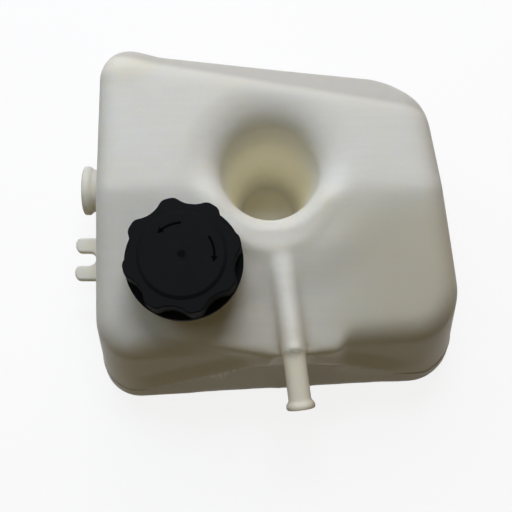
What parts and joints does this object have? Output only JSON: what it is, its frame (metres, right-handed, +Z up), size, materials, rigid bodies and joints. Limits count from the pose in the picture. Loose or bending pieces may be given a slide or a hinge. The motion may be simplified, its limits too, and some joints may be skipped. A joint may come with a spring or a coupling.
{
  "type": "coolant expansion tank",
  "caption": "Blow-moulded translucent coolant tank with a conical well, falling front deck, hose spigots, forked mounting lug and a lobed screw cap that holds a pressure and vacuum valve",
  "frame": {"origin": "on the flat underside of the tank, near the middle of its base", "axes": "+Z up along the filler axis, -Y towards the small vent tube at the front, -X towards the large hose spigot and the forked lug"},
  "size_m": [0.28, 0.2558, 0.1535],
  "materials": {
    "tank": "milky natural polyethylene, satin",
    "cap": "black moulded plastic, fine satin grain",
    "insert": "dark grey moulded plastic",
    "seal": "black rubber",
    "spring": "bright spring wire",
    "plate": "stamped stainless steel",
    "poppet": "turned brass"
  },
  "bodies": {
    "tank": {"tank_body": "tank"},
    "insert": {"valve_insert": "insert", "neck_ring": "seal", "spring_cover": "insert", "pressure_spring": "spring"},
    "cap": {"cap_shell": "cap"},
    "pressure_valve": {"pressure_plate": "plate", "pressure_washer": "seal", "vacuum_spring": "spring"},
    "vacuum_valve": {"vacuum_poppet": "poppet", "stem_keeper": "plate"}
  },
  "joints": [
    {"name": "cap_lift", "type": "slide", "parent": "tank", "child": "insert", "axis": [0, 0, 1], "range_m": [0, 0.007]},
    {"name": "cap_turn", "type": "hinge", "parent": "insert", "child": "cap", "pos_m": [-0.0632, -0.038, 0.135], "axis": [0, 0, 1], "range_deg": [0, 630]},
    {"name": "pressure_lift", "type": "slide", "parent": "insert", "child": "pressure_valve", "axis": [0, 0, 1], "range_m": [0, 0.0025], "stiffness_N_per_m": 1000, "springref_m": -0.008, "deforming": ["pressure_spring"]},
    {"name": "vacuum_drop", "type": "slide", "parent": "pressure_valve", "child": "vacuum_valve", "axis": [0, 0, -1], "range_m": [0, 0.0015], "stiffness_N_per_m": 150, "springref_m": -0.003, "deforming": ["vacuum_spring"]}
  ],
  "couplings": [
    {"joint": "cap_lift", "follows": "cap_turn", "m_per_rad": 0.00063662}
  ]
}
